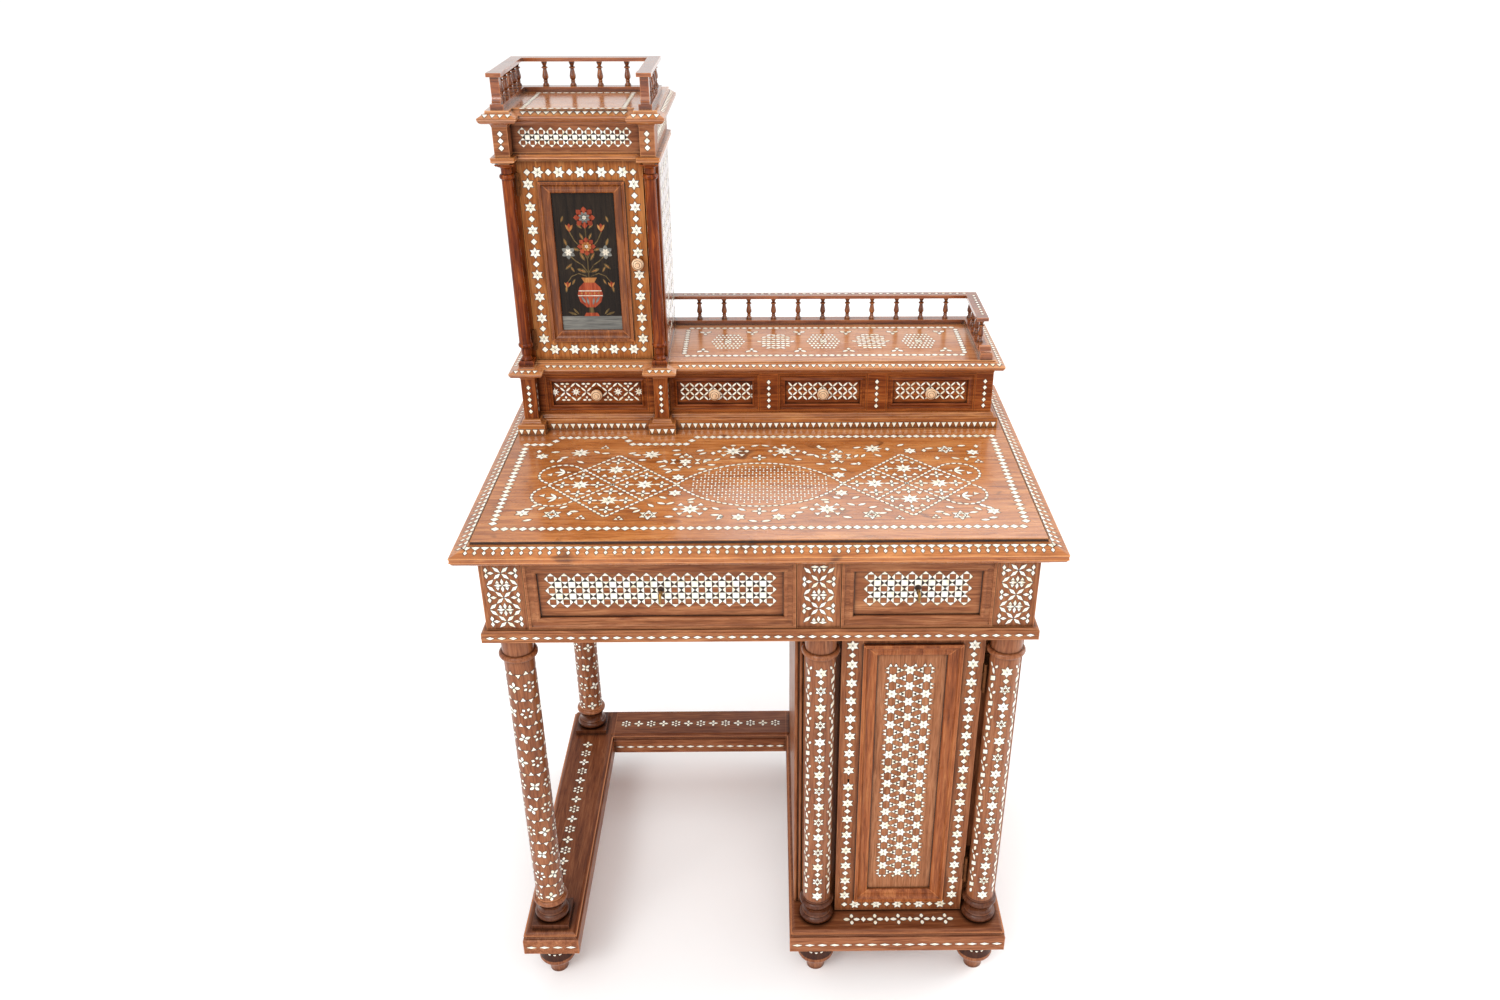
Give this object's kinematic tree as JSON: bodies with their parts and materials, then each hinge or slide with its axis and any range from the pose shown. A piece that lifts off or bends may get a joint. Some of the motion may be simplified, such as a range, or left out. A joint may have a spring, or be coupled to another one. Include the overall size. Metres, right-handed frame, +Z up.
{
  "type": "bonheur du jour writing desk",
  "caption": "Inlaid lady's writing desk with a flat top, frieze drawers, a pedestal cupboard, turned columns, a raised drawer case, a corner cabinet and galleries.",
  "frame": {"origin": "on the floor, under the middle of the writing top", "axes": "+Z up, +X to the sitter's right, -Y towards the sitter, who sits in front of the writing top"},
  "size_m": [0.764, 0.573, 1.277],
  "materials": {
    "wood": "french-polished walnut-toned wood",
    "top_wood": "polished, warm orange-brown",
    "base_wood": "waxed, duller brown",
    "red_wood": "polished, red-brown",
    "dark_wood": "polished, dark",
    "lining_wood": "plain planed softwood",
    "brass": "aged brass",
    "iron": "dull lock iron",
    "bone": "turned bone",
    "inlay": "bone inlay, flush and polished",
    "inlay_line": "dark stain round the inlay",
    "picture": "dark polished ground with stained-wood marquetry"
  },
  "bodies": {
    "desk": {"case_base": "wood", "case_face": "wood", "case_hinge_plates": "brass", "case_pilasters": "wood", "case_top": "wood", "case_walls": "wood", "column_front_left": "base_wood", "column_pedestal_left": "base_wood", "column_pedestal_right": "base_wood", "column_rear_left": "base_wood", "drawer_guides": "lining_wood", "feet": "dark_wood", "frieze_stiles": "wood", "frieze_walls": "wood", "pedestal_stiles": "base_wood", "pedestal_walls": "base_wood", "plinth_back_rail": "base_wood", "plinth_left_runner": "base_wood", "plinth_pedestal": "base_wood", "shelf_gallery_balusters": "red_wood", "shelf_gallery_kerb": "red_wood", "shelf_gallery_rail": "red_wood", "top_board": "top_wood", "tower_architrave": "wood", "tower_columns": "red_wood", "tower_cornice": "wood", "tower_frieze": "wood", "tower_gallery_balusters": "red_wood", "tower_gallery_kerb": "red_wood", "tower_gallery_posts": "red_wood", "tower_gallery_rail": "red_wood", "tower_stiles": "wood", "tower_walls": "wood", "waist_board": "wood"},
    "left_drawer": {"left_drawer_front": "wood", "left_drawer_box": "lining_wood", "left_drawer_lock": "iron"},
    "left_key": {"left_drawer_key": "brass"},
    "right_drawer": {"right_drawer_front": "wood", "right_drawer_box": "lining_wood", "right_drawer_lock": "iron"},
    "right_key": {"right_drawer_key": "brass"},
    "small_drawer_1": {"small_drawer_1": "wood", "small_drawer_1_knob": "bone"},
    "small_drawer_2": {"small_drawer_2": "wood", "small_drawer_2_knob": "bone"},
    "small_drawer_3": {"small_drawer_3": "wood", "small_drawer_3_knob": "bone"},
    "small_drawer_4": {"small_drawer_4": "wood", "small_drawer_4_knob": "bone"},
    "pedestal_door": {"pedestal_door_frame": "base_wood", "pedestal_door_moulding": "base_wood", "pedestal_door_panel": "base_wood", "pedestal_door_lock": "iron", "pedestal_door_hinges": "brass"},
    "tower_door": {"tower_door_frame": "wood", "tower_door_moulding": "wood", "tower_door_panel": "picture", "tower_door_knob": "bone", "tower_door_hinges": "brass"}
  },
  "joints": [
    {"name": "left_drawer_slide", "type": "slide", "parent": "desk", "child": "left_drawer", "axis": [0, -1, 0], "range_m": [0, 0.36]},
    {"name": "left_key_turn", "type": "hinge", "parent": "left_drawer", "child": "left_key", "pos_m": [-0.12675, -0.264, 0.701], "axis": [0, 1, 0], "range_deg": [0, 180]},
    {"name": "right_drawer_slide", "type": "slide", "parent": "desk", "child": "right_drawer", "axis": [0, -1, 0], "range_m": [0, 0.36]},
    {"name": "right_key_turn", "type": "hinge", "parent": "right_drawer", "child": "right_key", "pos_m": [0.20125, -0.264, 0.701], "axis": [0, 1, 0], "range_deg": [0, 180]},
    {"name": "small_drawer_1_slide", "type": "slide", "parent": "desk", "child": "small_drawer_1", "axis": [0, -1, 0], "range_m": [0, 0.12]},
    {"name": "small_drawer_2_slide", "type": "slide", "parent": "desk", "child": "small_drawer_2", "axis": [0, -1, 0], "range_m": [0, 0.12]},
    {"name": "small_drawer_3_slide", "type": "slide", "parent": "desk", "child": "small_drawer_3", "axis": [0, -1, 0], "range_m": [0, 0.12]},
    {"name": "small_drawer_4_slide", "type": "slide", "parent": "desk", "child": "small_drawer_4", "axis": [0, -1, 0], "range_m": [0, 0.12]},
    {"name": "pedestal_door_hinge", "type": "hinge", "parent": "desk", "child": "pedestal_door", "pos_m": [0.3039, -0.22838, 0.369], "axis": [0, 0, 1], "range_deg": [0, 90]},
    {"name": "tower_door_hinge", "type": "hinge", "parent": "desk", "child": "tower_door", "pos_m": [-0.3266, 0.0998, 1.0225], "axis": [0, 0, -1], "range_deg": [0, 90]}
  ]
}
